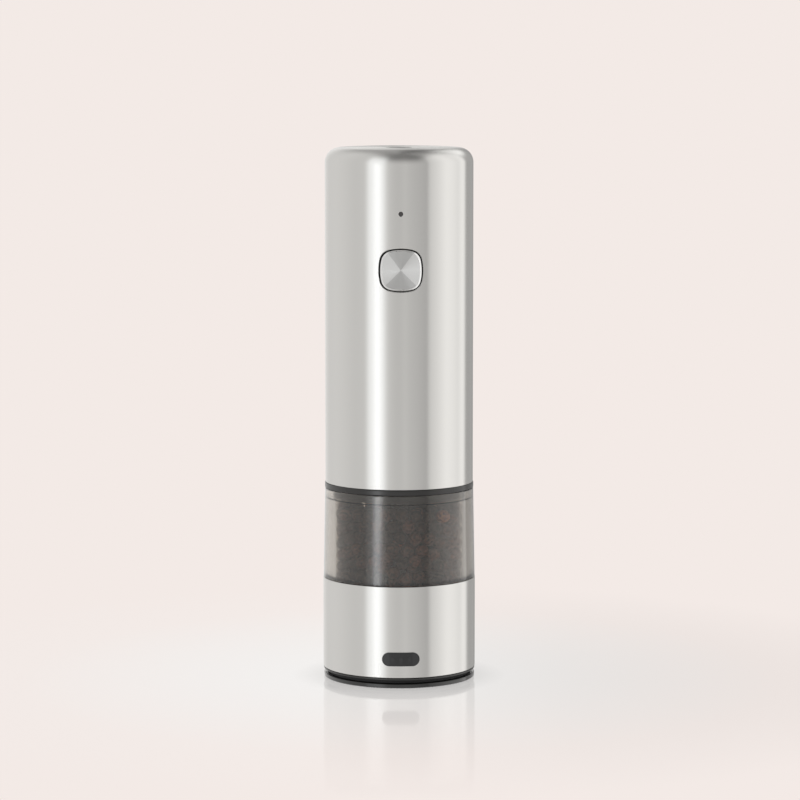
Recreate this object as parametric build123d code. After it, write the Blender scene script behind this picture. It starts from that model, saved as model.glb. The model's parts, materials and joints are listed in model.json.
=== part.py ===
from build123d import *
import math
import os

# Rechargeable pepper mill, in millimetres. +Z is up and the push button faces -Y.
# The origin is the centre of the flat underside, on the surface that the mill stands on.

# --- Driving dimensions: outside ---
SLEEVE_R = 26.0
SHEET = 0.6
SLEEVE_BOTTOM = 3.5
SLEEVE_TOP = 34.55
SHELL_R = 25.2
SHELL_WALL = 0.8
SHELL_BOTTOM = 67.3
SHELL_TOP = 181.2
TOP_ROUNDING = 5.0
COLLAR_R = 25.4
COLLAR_BOTTOM = 65.4

# --- Driving dimensions: pepper container ---
CONTAINER_BOTTOM = 30.6
CONTAINER_SHOULDER = 34.85
CONTAINER_RIM = 65.3
CONTAINER_FOOT_R = 25.2
CONTAINER_LOW_R = 25.9
CONTAINER_HIGH_R = 25.35
CONTAINER_BORE_R = 21.9
MOUTH_R = 22.7
MOUTH_FLOOR = 62.0

# --- Driving dimensions: grinder ---
HOUSING_R = 25.3
CAP_R = 25.8
CAP_THICK = 1.45
BASE_BORE_R = 22.45
BURR_BOTTOM = 13.0
BURR_TOP = 26.0
BURR_R = 17.5
BURR_BORE_LOW_R = 14.4
BURR_SLOPE = 0.26
INNER_BURR_BOTTOM = 12.6
INNER_BURR_R = 13.9
RETAINER_SCREW_R = 20.0
SCREW_ANGLES = (60, 180, 300)
HEX_FLATS = 5.0
SHAFT_BOTTOM = 12.05
SHAFT_TOP = 70.3
THRUST_R = 2.4

# --- Driving dimensions: gear train, two equal planetary stages ---
MODULE = 0.5
PRESSURE_ANGLE = math.radians(20)
SUN_TEETH = 12
PLANET_TEETH = 18
RING_TEETH = 48
STUB_ADDENDUM = 0.75 * MODULE
DEDENDUM = 1.1 * MODULE
TOOTH_THINNING = 0.06
PLANET_ORBIT = MODULE * (SUN_TEETH + PLANET_TEETH) / 2
PLANET_ANGLES = (0, 120, 240)
PIN_R = 1.0
PIN_PLAY = 0.05
CARRIER_R = 10.9
GEARBOX_R = 15.0
GEARBOX_BOTTOM = 67.5
GEARBOX_TOP = 83.4
BUSH_R = 6.0
HUB_R = 4.5

# --- Driving dimensions: motor, cell and boards ---
MOTOR_R = 12.2
MOTOR_BOTTOM = 85.2
MOTOR_TOP = 113.2
MOTOR_SHAFT_R = 1.0
CELL_R = 9.15
CELL_LENGTH = 49.5
CELL_Y = 10.5
CELL_BOTTOM = 120.8
BOARD_FRONT = -10.4
BOARD_THICK = 1.6
BOARD_HALF_WIDTH = 15.0
BOARD_BOTTOM = 122.0
BOARD_TOP = 168.0
PORT_WIDTH = 8.94
PORT_DEPTH = 3.16
PORT_WALL = 0.3
PORT_BOTTOM = 174.4
PORT_TOP = 180.9

# --- Driving dimensions: button and light ---
BUTTON_Z = 141.15
BUTTON_FACE = -25.0
BUTTON_HALF = 6.72
BUTTON_HOLE_HALF = 7.35
BUTTON_FLANGE_HALF = 8.2
LED_Z = 159.9
LED_R = 0.75

# --- Driving dimensions: chassis and plug ---
CHASSIS_R = 24.15
CHASSIS_BORE_R = 22.75
CHASSIS_TOP = 173.0
PLUG_BOTTOM = 62.4
PLUG_R = 22.3
PLUG_FLANGE_R = 23.9
PLUG_TOP = 67.4
POST_R = 18.6
POST_ANGLES = (0, 120, 240)
TIE_X = 19.0
TIE_HEIGHTS = (96.0, 156.0)


# --- Helpers ---

def turned(*outline):
    """A solid of revolution about Z from its (radius, height) corners."""
    corners = [(radius, 0, height) for radius, height in outline]
    return revolve(make_face(Polyline(*corners, close=True)), Axis.Z)


def rod(radius, bottom, top, x=0, y=0):
    """An upright round bar."""
    bar = Cylinder(radius, top - bottom, align=(Align.CENTER, Align.CENTER, Align.MIN))
    return Pos(x, y, bottom) * bar


def tube(outer, inner, bottom, top):
    """An upright round tube."""
    return rod(outer, bottom, top) - rod(inner, bottom, top)


def block(x0, x1, y0, y1, z0, z1):
    """A box from its limits along each axis."""
    middle = Pos((x0 + x1) / 2, (y0 + y1) / 2, (z0 + z1) / 2)
    return middle * Box(x1 - x0, y1 - y0, z1 - z0)


def crossbar(radius, front, back, x, z):
    """A round bar along Y, from its front end to its back end."""
    bar = Cylinder(radius, back - front)
    return Pos(x, (front + back) / 2, z) * Rot(90, 0, 0) * bar


def around(radius, angles):
    """Points (x, y) on a circle about the mill's axis."""
    return [
        (radius * math.cos(math.radians(a)), radius * math.sin(math.radians(a)))
        for a in angles
    ]


def even_angles(count, start=0.0):
    """Equally spaced angles in degrees."""
    return [start + 360 * i / count for i in range(count)]


def hexagon_bar(flats, bottom, top):
    """An upright hexagonal bar with the given size across its flats."""
    profile = RegularPolygon(flats / 2, 6, major_radius=False)
    return Pos(0, 0, bottom) * extrude(profile, top - bottom)


def union(pieces):
    """All pieces joined into one shape."""
    whole = pieces[0]
    for piece in pieces[1:]:
        whole = whole + piece
    return whole


def group(pieces):
    """Separate solids kept together as one sub-part."""
    return Compound(children=list(pieces))


def squircle(half, bow, corner):
    """A square with gently bowed sides and round corners, as a face in XY."""
    k = half - bow
    sides = [
        ThreePointArc((-k, -k), (0, -half), (k, -k)),
        ThreePointArc((k, -k), (half, 0), (k, k)),
        ThreePointArc((k, k), (0, half), (-k, k)),
        ThreePointArc((-k, k), (-half, 0), (-k, -k)),
    ]
    face = make_face(sides)
    return fillet(face.vertices(), corner)


def facing_front(face, front, back):
    """A face drawn in XY stood up in the XZ plane at button height, from front to back."""
    upright = Pos(0, back, BUTTON_Z) * Rot(90, 0, 0) * face
    return extrude(upright, back - front)


def stadium_bar(width, depth, bottom, top):
    """An upright bar with round ends, long along X."""
    return Pos(0, 0, bottom) * extrude(SlotOverall(width, depth), top - bottom)


def upright_screw(x, y, head_bottom, head_height, head_r, shank_r, shank_top):
    """A pan-head screw that points up, with a crossed recess in its head."""
    head = rod(head_r, head_bottom, head_bottom + head_height, x, y)
    shank = rod(shank_r, head_bottom + head_height, shank_top, x, y)
    slot = 0.35
    reach = head_r * 0.6
    recess_top = head_bottom + head_height * 0.55
    along = block(x - reach, x + reach, y - slot, y + slot, head_bottom, recess_top)
    across = block(x - slot, x + slot, y - reach, y + reach, head_bottom, recess_top)
    return head + shank - along - across


# --- Gears ---

def involute_angle(radius, base_r):
    """Polar angle, in radians, that an involute has turned when it reaches a radius."""
    roll = math.sqrt(max((radius / base_r) ** 2 - 1, 0))
    return roll - math.atan(roll)


def gear_face(teeth, root_r, tip_r, thinning):
    """A spur gear's face with one tooth centred on +X."""
    pitch_r = MODULE * teeth / 2
    base_r = pitch_r * math.cos(PRESSURE_ANGLE)
    pitch_half = math.pi / (2 * teeth) - thinning / (2 * pitch_r)
    flank_start = max(root_r, base_r)
    steps = 4
    radii = [flank_start + (tip_r - flank_start) * i / steps for i in range(steps + 1)]
    at_pitch = involute_angle(pitch_r, base_r)
    flank = [(r, pitch_half + at_pitch - involute_angle(r, base_r)) for r in radii]
    if root_r < base_r:
        flank.insert(0, (root_r, flank[0][1]))
    points = []
    for tooth in range(teeth):
        centre = 2 * math.pi * tooth / teeth
        for radius, half in flank:
            points.append((radius * math.cos(centre - half), radius * math.sin(centre - half)))
        for radius, half in reversed(flank):
            points.append((radius * math.cos(centre + half), radius * math.sin(centre + half)))
    return make_face(Polyline(*points, close=True))


def outer_gear(teeth, bottom, top):
    """A solid external gear."""
    pitch_r = MODULE * teeth / 2
    face = gear_face(teeth, pitch_r - DEDENDUM, pitch_r + STUB_ADDENDUM, TOOTH_THINNING)
    return Pos(0, 0, bottom) * extrude(face, top - bottom)


def ring_gear_space(bottom, top):
    """The space inside the ring gear, with one ring tooth centred on +X."""
    pitch_r = MODULE * RING_TEETH / 2
    face = gear_face(RING_TEETH, pitch_r - STUB_ADDENDUM, pitch_r + DEDENDUM, -TOOTH_THINNING)
    half_pitch = 180 / RING_TEETH
    return Pos(0, 0, bottom) * Rot(0, 0, half_pitch) * extrude(face, top - bottom)


def planet_gear(angle, bottom, top):
    """A planet in mesh at its place, with a tooth space that faces +X and one that faces -X."""
    gear = Rot(0, 0, 180 / PLANET_TEETH) * outer_gear(PLANET_TEETH, bottom, top)
    gear = gear - rod(PIN_R + PIN_PLAY, bottom, top)
    x, y = around(PLANET_ORBIT, [angle])[0]
    # The three places are a third of a turn apart, which is a whole number of planet teeth.
    return Pos(x, y, 0) * gear


def carrier_pins(bottom, top):
    """The three planet pins of a carrier."""
    return [rod(PIN_R, bottom, top, x, y) for x, y in around(PLANET_ORBIT, PLANET_ANGLES)]


# --- Base and grinder ---

def aroma_cap():
    """The removable lid under the grinder: a disc with a skirt that plugs into the base ring."""
    disc = rod(CAP_R, 0, CAP_THICK)
    disc = fillet(disc.edges().group_by(Axis.Z)[0], 0.4)
    disc = fillet(disc.edges().group_by(Axis.Z)[-1], 0.25)
    skirt = tube(22.3, 21.0, CAP_THICK - 0.2, 5.0)
    return disc + skirt


def base_ring():
    """The black ring that closes the sleeve, with the groove above the cap."""
    return turned(
        (BASE_BORE_R, 1.55), (24.4, 1.55), (24.4, 2.5), (25.9, 2.5), (25.9, 3.45),
        (HOUSING_R, 3.45), (HOUSING_R, 9.0), (BASE_BORE_R, 9.0),
    )


def lower_sleeve():
    """The brushed steel sleeve round the grinder."""
    return tube(SLEEVE_R, SLEEVE_R - SHEET, SLEEVE_BOTTOM, SLEEVE_TOP)


def badge_plate():
    """A small blank plate on the sleeve's front, with three studs."""
    badge_z = 10.0
    width = 12.7
    height = 4.7
    proud = 0.12
    outline = Pos(0, 0, badge_z) * Rot(90, 0, 0) * SlotOverall(width, height)
    bar = extrude(outline, 30)
    plate = bar & tube(SLEEVE_R + proud, SLEEVE_R, badge_z - height, badge_z + height)
    stud_ring = tube(SLEEVE_R + 2 * proud, SLEEVE_R + proud, badge_z - height, badge_z + height)
    studs = [
        crossbar(0.75, -30, -20, offset, badge_z) & stud_ring for offset in (-2.9, 0, 2.9)
    ]
    return union([plate] + studs)


def grinder_housing():
    """The plastic core: a funnel above, the burr's seat in the middle and the outlet below."""
    throat_r = 11.3
    seat_r = BURR_R + 0.05
    core = turned(
        (HOUSING_R, 9.05), (HOUSING_R, 30.5), (CONTAINER_BORE_R, 30.5), (throat_r, 27.6),
        (throat_r, BURR_TOP + 0.05), (seat_r, BURR_TOP + 0.05), (seat_r, 12.95),
        (BASE_BORE_R, 12.95), (BASE_BORE_R, 9.05),
    )
    for x, y in around(RETAINER_SCREW_R, SCREW_ANGLES):
        core = core - rod(1.0, 12.95, 19.0, x, y)
    return core


def outer_burr():
    """The fixed ceramic burr: a ring with a flared, grooved bore."""
    bore_top_r = BURR_BORE_LOW_R - BURR_SLOPE * (BURR_TOP - BURR_BOTTOM)
    ring = turned(
        (BURR_BORE_LOW_R, BURR_BOTTOM), (BURR_R, BURR_BOTTOM), (BURR_R, BURR_TOP),
        (bore_top_r, BURR_TOP),
    )
    height = BURR_TOP - BURR_BOTTOM
    tip = (BURR_BORE_LOW_R + 1.1, 0)
    groove = make_face(Polyline(tip, (9.0, 0.9), (9.0, -0.9), close=True))
    cutter = Pos(0, 0, BURR_BOTTOM) * extrude(groove, height)
    for angle in even_angles(24):
        ring = ring - Rot(0, 0, angle) * cutter
    return ring


def burr_retainer():
    """The three-armed spider that holds the outer burr and guides the thrust screw."""
    rim = tube(22.3, 16.2, 10.4, 12.9)
    boss = rod(5.0, 8.5, 11.4)
    arm = block(3.5, 17.0, -2.0, 2.0, 9.4, 11.4)
    spider = union([rim, boss] + [Rot(0, 0, angle) * arm for angle in (0, 120, 240)])
    spider = spider - rod(THRUST_R + 0.08, 8.0, 12.0)
    for x, y in around(RETAINER_SCREW_R, SCREW_ANGLES):
        spider = spider - rod(1.0, 10.0, 13.0, x, y)
    return spider


def retainer_screws():
    """Three screws that hold the spider up against the housing."""
    return group(
        [
            upright_screw(x, y, 9.1, 1.3, 1.7, 1.0, 18.5)
            for x, y in around(RETAINER_SCREW_R, SCREW_ANGLES)
        ]
    )


def container():
    """The clear pepper container, open above and below, with a rebated mouth."""
    return turned(
        (CONTAINER_BORE_R, CONTAINER_BOTTOM), (CONTAINER_FOOT_R, CONTAINER_BOTTOM),
        (CONTAINER_FOOT_R, CONTAINER_SHOULDER), (CONTAINER_LOW_R, CONTAINER_SHOULDER),
        (CONTAINER_HIGH_R, CONTAINER_RIM), (MOUTH_R, CONTAINER_RIM), (MOUTH_R, MOUTH_FLOOR),
        (CONTAINER_BORE_R, MOUTH_FLOOR),
    )


def inner_burr():
    """The turning ceramic burr: a cone with slanted grooves, fixed on the hexagonal shaft."""
    knee = 17.0
    knee_r = INNER_BURR_R - BURR_SLOPE * (knee - INNER_BURR_BOTTOM)
    nose_r = 5.2
    nose = 27.5
    cone = turned(
        (0, INNER_BURR_BOTTOM), (INNER_BURR_R, INNER_BURR_BOTTOM), (knee_r, knee),
        (nose_r, nose), (0, nose),
    )
    slope = math.degrees(math.atan2(knee_r - nose_r, nose - knee))
    groove = make_face(Polyline((-1.4, 0), (1.2, 1.2), (1.2, -1.2), close=True))
    cutter = extrude(groove, 24)
    cutter = Pos(INNER_BURR_R - 0.2, 0, INNER_BURR_BOTTOM) * Rot(22, -slope, 0) * Pos(0, 0, -6) * cutter
    for angle in even_angles(12):
        cone = cone - Rot(0, 0, angle) * cutter
    return cone - hexagon_bar(HEX_FLATS, INNER_BURR_BOTTOM - 1, nose + 1)


def drive_shaft():
    """The hexagonal steel shaft from the thrust screw up into the gearbox's output."""
    return chamfer(hexagon_bar(HEX_FLATS, SHAFT_BOTTOM, SHAFT_TOP).edges().group_by(Axis.Z)[-1], 0.6)


def feed_agitator():
    """A hub on the shaft with two bent arms that keep the peppercorns moving."""
    hub = rod(4.6, 29.0, 35.0)
    arm = block(4.0, 15.0, -1.2, 1.2, 31.0, 33.5) + block(12.8, 15.0, -1.2, 1.2, 31.0, 39.0)
    whole = hub + arm + Rot(0, 0, 180) * arm
    return whole - hexagon_bar(HEX_FLATS, 28.0, 36.0)


def shaft_clip():
    """A split spring clip that holds the agitator down on the shaft."""
    ring = rod(4.2, 35.05, 35.85) - hexagon_bar(HEX_FLATS, 35.0, 36.0)
    return ring - block(0, 6, -1.3, 1.3, 35.0, 36.0)


def thrust_screw():
    """The screw that carries the shaft's foot and sets the gap between the burrs."""
    stud = rod(THRUST_R, 4.1, 12.0)
    return chamfer(stud.edges().group_by(Axis.Z)[-1], 0.5)


def adjuster_knob():
    """The fluted grind adjuster under the spider."""
    knob = fillet(rod(11.0, 2.6, 8.3).edges().group_by(Axis.Z)[0], 0.8)
    for x, y in around(11.6, even_angles(20)):
        knob = knob - rod(1.1, 2.0, 9.0, x, y)
    pocket = tube(8.8, 4.6, 4.4, 8.3)
    mark = rod(0.8, 2.6, 2.9, 0, -7.2)
    return knob - pocket - rod(THRUST_R + 0.08, 3.4, 8.3) - mark


# --- Plug, shell and chassis ---

def plug_base():
    """The stopper that closes the container's mouth and carries the gearbox."""
    plug = turned(
        (0, PLUG_BOTTOM), (PLUG_R, PLUG_BOTTOM), (PLUG_R, 63.1), (21.4, 63.1), (21.4, 64.6),
        (PLUG_R, 64.6), (PLUG_R, COLLAR_BOTTOM), (PLUG_FLANGE_R, COLLAR_BOTTOM),
        (PLUG_FLANGE_R, PLUG_TOP), (0, PLUG_TOP),
    )
    plug = plug - rod(HUB_R + 0.4, PLUG_BOTTOM - 1, 64.4) - rod(BUSH_R, 64.4, PLUG_TOP)
    for x, y in around(POST_R, POST_ANGLES):
        plug = plug - rod(1.2, PLUG_BOTTOM, PLUG_TOP, x, y) - rod(2.1, PLUG_BOTTOM, 64.3, x, y)
    for x, y in around(15.8, SCREW_ANGLES):
        plug = plug - rod(0.9, 63.4, PLUG_TOP, x, y)
    return plug


def plug_seal():
    """The soft ring in the plug's groove."""
    return tube(22.55, 21.4, 63.1, 64.6)


def plug_screws():
    """Three screws up through the plug into the chassis posts."""
    return group(
        [
            upright_screw(x, y, 62.7, 1.6, 2.0, 1.2, 76.0)
            for x, y in around(POST_R, POST_ANGLES)
        ]
    )


def shell_collar():
    """The black ring between the steel shell and the container."""
    return turned(
        (PLUG_FLANGE_R + 0.05, COLLAR_BOTTOM), (COLLAR_R, COLLAR_BOTTOM), (COLLAR_R, 67.2),
        (24.35, 67.2), (24.35, 72.0), (CHASSIS_R + 0.03, 72.0), (CHASSIS_R + 0.03, 67.45),
        (PLUG_FLANGE_R + 0.05, 67.45),
    )


def button_hole():
    """The cutter for the button's window in the shell."""
    return facing_front(squircle(BUTTON_HOLE_HALF, 0.6, 4.7), -30, -10)


def outer_shell():
    """The brushed steel shell: a deep drawn cup, open below."""
    outside = fillet(
        rod(SHELL_R, SHELL_BOTTOM, SHELL_TOP).edges().group_by(Axis.Z)[-1], TOP_ROUNDING
    )
    inside = fillet(
        rod(SHELL_R - SHELL_WALL, SHELL_BOTTOM, SHELL_TOP - SHELL_WALL).edges().group_by(Axis.Z)[-1],
        TOP_ROUNDING - SHELL_WALL,
    )
    shell = outside - inside - button_hole()
    shell = shell - crossbar(LED_R + 0.02, -30, -20, 0, LED_Z)
    shell = shell - stadium_bar(PORT_WIDTH + 0.3, PORT_DEPTH + 0.3, 178, 183)
    tick = block(-26, -SHELL_R + 0.25, -0.4, 0.4, 69.0, 73.0)
    return shell - tick - Rot(0, 0, 180) * tick


def chassis_body():
    """The whole inner frame before it is split: a tube with bulkheads, ribs and rails."""
    wall = tube(CHASSIS_R, CHASSIS_BORE_R, GEARBOX_BOTTOM, CHASSIS_TOP)
    inside = rod(CHASSIS_BORE_R + 0.5, GEARBOX_BOTTOM, CHASSIS_TOP)
    motor_ribs = [
        tube(CHASSIS_BORE_R + 0.1, MOTOR_R + 0.05, bottom, bottom + 2.0) for bottom in (87.0, 108.0)
    ]
    floor = rod(CHASSIS_BORE_R + 0.1, 117.8, 119.8)
    wire_way = block(-8, 8, -20, -12, 117, 121)
    roof = rod(CHASSIS_BORE_R + 0.1, 171.0, CHASSIS_TOP)
    cradle = rod(CHASSIS_BORE_R + 0.1, 130, 132) + rod(CHASSIS_BORE_R + 0.1, 158.5, 160.5)
    cradle = cradle - rod(CELL_R + 0.1, 129, 161, 0, CELL_Y) - block(-30, 30, -30, -6.5, 129, 161)
    rail = block(14.2, 24, BOARD_FRONT - 1.2, BOARD_FRONT + BOARD_THICK + 1.2, BOARD_BOTTOM, BOARD_TOP)
    rail = rail - block(14, BOARD_HALF_WIDTH, BOARD_FRONT, BOARD_FRONT + BOARD_THICK, BOARD_BOTTOM, BOARD_TOP)
    rails = (rail + mirror(rail, Plane.YZ)) & inside
    post = rod(2.6, GEARBOX_BOTTOM, 80.0, POST_R, 0)
    post = post + block(POST_R, 23.2, -1.2, 1.2, GEARBOX_BOTTOM, 80.0)
    posts = [Rot(0, 0, angle) * post for angle in POST_ANGLES]
    ties = [
        crossbar(2.4, -14, 14, side * TIE_X, height) & inside
        for side in (-1, 1)
        for height in TIE_HEIGHTS
    ]
    return union([wall, floor - wire_way, roof, cradle, rails] + motor_ribs + posts + ties)


def square_behind_button(half, front, back):
    """A square block centred on the button."""
    return block(-half, half, front, back, BUTTON_Z - half, BUTTON_Z + half)


def chassis_halves():
    """The front and rear halves of the inner frame, with a pocket that guides the button's stem."""
    pocket = 8.6
    guide = square_behind_button(pocket + 1.6, -24, -18.3) & rod(CHASSIS_R, 120, 165)
    frame = chassis_body() + guide - square_behind_button(pocket, -30, -19.5)
    frame = frame - crossbar(3.0, -30, -15, 0, BUTTON_Z) - crossbar(LED_R + 0.3, -30, -15, 0, LED_Z)
    for x, y in around(POST_R, POST_ANGLES):
        frame = frame - rod(1.2, GEARBOX_BOTTOM, 76.0, x, y)
    for side in (-1, 1):
        for height in TIE_HEIGHTS:
            frame = frame - crossbar(1.0, -6, 8, side * TIE_X, height)
            frame = frame - crossbar(2.0, -30, -6, side * TIE_X, height)
    half_gap = 0.05
    front = frame & block(-30, 30, -30, -half_gap, 60, 180)
    rear = frame & block(-30, 30, half_gap, 30, 60, 180)
    return front, rear


def chassis_screws():
    """Four screws that tie the front half of the frame to the rear half."""
    return group(
        [
            crossbar(1.8, -7.5, -6, side * TIE_X, height) + crossbar(1.0, -6, 7.5, side * TIE_X, height)
            for side in (-1, 1)
            for height in TIE_HEIGHTS
        ]
    )


# --- Gearbox ---

def gearbox_housing():
    """The gearbox's cup with the ring teeth of both stages and three fixing lugs."""
    cup = rod(GEARBOX_R, GEARBOX_BOTTOM, GEARBOX_TOP)
    lugs = [rod(2.4, GEARBOX_BOTTOM, 69.3, x, y) for x, y in around(15.8, SCREW_ANGLES)]
    cup = union([cup] + lugs) - ring_gear_space(69.3, GEARBOX_TOP)
    cup = cup - rod(BUSH_R, GEARBOX_BOTTOM, 69.3)
    for x, y in around(15.8, SCREW_ANGLES):
        cup = cup - rod(0.9, GEARBOX_BOTTOM, 69.3, x, y) - rod(1.6, 69.3, 71.0, x, y)
    return cup


def output_bush():
    """The plain bearing of the gearbox's output."""
    return tube(BUSH_R, HUB_R + 0.05, 64.4, 69.3)


def gearbox_screws():
    """Three screws that hold the gearbox down on the plug."""
    screws = []
    for x, y in around(15.8, SCREW_ANGLES):
        screws.append(rod(1.5, 69.3, 70.4, x, y) + rod(0.9, 63.6, 69.3, x, y))
    return group(screws)


def output_carrier():
    """The last carrier: a hub with a hexagonal socket, a disc and three pins."""
    hub = rod(HUB_R, 62.8, 69.7)
    disc = rod(CARRIER_R, 69.6, 71.4)
    return union([hub, disc] + carrier_pins(71.3, 76.2)) - hexagon_bar(HEX_FLATS + 0.1, 62.0, 70.9)


def first_carrier():
    """The first stage's carrier with the second stage's sun gear below it."""
    sun = outer_gear(SUN_TEETH, 71.7, 76.7)
    disc = rod(CARRIER_R, 76.6, 78.0)
    return union([sun, disc] + carrier_pins(77.9, 82.4))


def first_sun_gear():
    """The pinion on the motor's shaft."""
    return outer_gear(SUN_TEETH, 78.2, 82.9) - rod(MOTOR_SHAFT_R, 78.0, 83.0)


def motor_plate():
    """The plate that closes the gearbox and holds the motor's nose."""
    plate = rod(GEARBOX_R, GEARBOX_TOP, MOTOR_BOTTOM) - rod(3.05, GEARBOX_TOP, MOTOR_BOTTOM)
    for x in (-8, 8):
        plate = plate - rod(1.3, GEARBOX_TOP, MOTOR_BOTTOM, x, 0) - rod(2.2, GEARBOX_TOP, 84.4, x, 0)
    return plate


def motor_screws():
    """Two screws through the plate into the motor's face."""
    return group([upright_screw(x, 0, 83.5, 0.9, 2.1, 1.25, 87.4) for x in (-8, 8)])


# --- Motor ---

def motor_can():
    """The drawn steel can, closed below round the nose bearing."""
    wall = 0.9
    can = rod(MOTOR_R, MOTOR_BOTTOM, MOTOR_TOP) - rod(MOTOR_R - wall, MOTOR_BOTTOM + wall, MOTOR_TOP)
    nose = rod(3.0, 83.6, MOTOR_BOTTOM + 2.0)
    can = can + nose - rod(MOTOR_SHAFT_R + 0.05, 83.0, 88.0)
    for x in (-8, 8):
        can = can - rod(1.25, MOTOR_BOTTOM, MOTOR_BOTTOM + wall, x, 0)
    return can


def motor_magnets():
    """Two curved magnets inside the can."""
    ring = tube(11.3, 8.9, 89.0, 108.0)
    gap = block(-13, 13, -3.4, 3.4, 88, 109)
    return group((ring - gap).solids())


def armature():
    """The three-pole rotor with its commutator."""
    stack = rod(8.4, 90.0, 107.0)
    for angle in (30, 150, 270):
        slot = block(3.0, 9.0, -0.8, 0.8, 89.0, 108.0) + block(3.4, 6.8, -2.4, 2.4, 89.0, 108.0)
        stack = stack - Rot(0, 0, angle) * slot
    commutator = rod(2.6, 107.0, 111.0)
    return stack + commutator - rod(MOTOR_SHAFT_R, 89.0, 112.0)


def motor_shaft():
    """The motor's shaft from the pinion up to the end cap."""
    return rod(MOTOR_SHAFT_R, 78.2, 116.4)


def motor_end_cap():
    """The plastic end of the motor with its rear bearing."""
    cap = rod(MOTOR_R, MOTOR_TOP, 115.4) + rod(11.25, 111.6, MOTOR_TOP) + rod(3.0, 115.4, 116.8)
    cap = cap - rod(MOTOR_SHAFT_R + 0.05, 111.0, 116.6)
    for x in (-8, 8):
        cap = cap - block(x - 1.2, x + 1.2, -0.3, 0.3, 111.0, 116.0)
    return cap


def motor_terminals():
    """Two blades on the end cap that the leads are soldered to."""
    return group([block(x - 1.2, x + 1.2, -0.3, 0.3, 112.0, 117.4) for x in (-8, 8)])


def motor_leads():
    """Two insulated leads from the motor's blades up to the circuit board."""
    radius = 0.6
    leads = []
    for side in (-1, 1):
        points = [
            (side * 8.0, -1.0, 116.4), (side * 7.6, -5.6, 116.2), (side * 6.4, -15.0, 116.4),
            (side * 6.0, -15.0, 123.4), (side * 6.0, -11.0, 125.0),
        ]
        path = FilletPolyline(*points, radius=[1.5, 2.2, 1.6])
        start = Plane(origin=path @ 0, z_dir=path % 0)
        leads.append(sweep(start * Circle(radius), path))
    return group(leads)


# --- Cell, boards, port ---

def battery_cell():
    """The round lithium cell with its positive cap."""
    body = rod(CELL_R, CELL_BOTTOM, CELL_BOTTOM + CELL_LENGTH - 1.0, 0, CELL_Y)
    body = fillet(body.edges(), 0.5)
    return body + rod(3.2, CELL_BOTTOM + CELL_LENGTH - 1.1, CELL_BOTTOM + CELL_LENGTH, 0, CELL_Y)


def battery_contacts():
    """The two sprung contact plates at the ends of the cell."""
    low = block(-5, 5, CELL_Y - 5, CELL_Y + 5, 119.85, 120.2) + rod(2.5, 120.1, 120.75, 0, CELL_Y)
    end = CELL_BOTTOM + CELL_LENGTH
    high = block(-5, 5, CELL_Y - 5, CELL_Y + 5, end + 0.3, 170.9) + rod(2.0, end + 0.03, end + 0.4, 0, CELL_Y)
    return group([low, high])


def main_board():
    """The upright circuit board behind the button."""
    return block(
        -BOARD_HALF_WIDTH + 0.05, BOARD_HALF_WIDTH - 0.05, BOARD_FRONT + 0.05,
        BOARD_FRONT + BOARD_THICK - 0.05, BOARD_BOTTOM, BOARD_TOP,
    )


def board_components():
    """Chips and capacitors on the front of the main board."""
    face = BOARD_FRONT + 0.05
    chips = [
        (-8.5, 130, 2.6, 2.0), (9, 131, 1.8, 2.6), (-9, 156, 3.0, 3.0), (9, 162, 1.6, 1.2),
        (10, 155, 1.0, 1.8),
    ]
    return group(
        [block(x - w, x + w, face - 1.2, face, z - h, z + h) for x, z, w, h in chips]
    )


def tact_switch():
    """The square momentary switch on the board, bored for its plunger."""
    face = BOARD_FRONT + 0.05
    return square_behind_button(3.1, -13.9, face) - crossbar(1.85, -14, -12.4, 0, BUTTON_Z)


def switch_plunger():
    """The switch's plunger under the button's stem."""
    return crossbar(1.75, -15.4, -13.1, 0, BUTTON_Z)


def status_led():
    """The light on the board behind the light pipe."""
    return block(-1.0, 1.0, -11.5, BOARD_FRONT + 0.05, LED_Z - 0.7, LED_Z + 0.7)


def led_light_pipe():
    """The dark clear rod that shows the charging light on the shell."""
    pipe = crossbar(LED_R, -25.1, -11.6, 0, LED_Z)
    return pipe + crossbar(1.6, -22.6, -21.8, 0, LED_Z)


def charge_board():
    """The small flat board that the charging receptacle is soldered to."""
    return block(-11, 11, -8, 8, 173.05, PORT_BOTTOM)


def port_shell():
    """The charging receptacle's metal shell."""
    outer = stadium_bar(PORT_WIDTH, PORT_DEPTH, PORT_BOTTOM, PORT_TOP)
    inner = stadium_bar(PORT_WIDTH - 2 * PORT_WALL, PORT_DEPTH - 2 * PORT_WALL, PORT_BOTTOM + 0.4, PORT_TOP)
    return outer - inner


def port_tongue():
    """The contact tongue inside the receptacle."""
    return block(-3.35, 3.35, -0.35, 0.35, PORT_BOTTOM + 0.4, 179.9)


def port_gasket():
    """The soft collar that seals the receptacle under the top of the shell."""
    outer = stadium_bar(12.4, 6.6, 178.4, 180.35)
    return outer - stadium_bar(PORT_WIDTH, PORT_DEPTH, 178.0, 181.0)


# --- Button ---

def button_cap():
    """The metal push button with its chamfered face and the flange behind the shell."""
    face = facing_front(squircle(BUTTON_HALF, 0.55, 4.3), BUTTON_FACE, -22.6)
    face = chamfer(face.edges().group_by(Axis.Y)[0], 0.3)
    flange = facing_front(squircle(BUTTON_FLANGE_HALF, 0.55, 5.0), -22.6, -21.4)
    return face + flange


def button_stem():
    """The plastic stem that carries the press to the switch."""
    return crossbar(2.5, -21.4, -15.45, 0, BUTTON_Z)


def button_spring():
    """The short coil spring that returns the button."""
    wire = 0.22
    coil_r = 4.4
    length = 1.3
    coil = Helix(pitch=length / 2, height=length, radius=coil_r)
    start = Plane(origin=coil @ 0, z_dir=coil % 0)
    spring = sweep(start * Circle(wire), coil)
    return Pos(0, -21.05, BUTTON_Z) * Rot(-90, 0, 0) * spring


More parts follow.
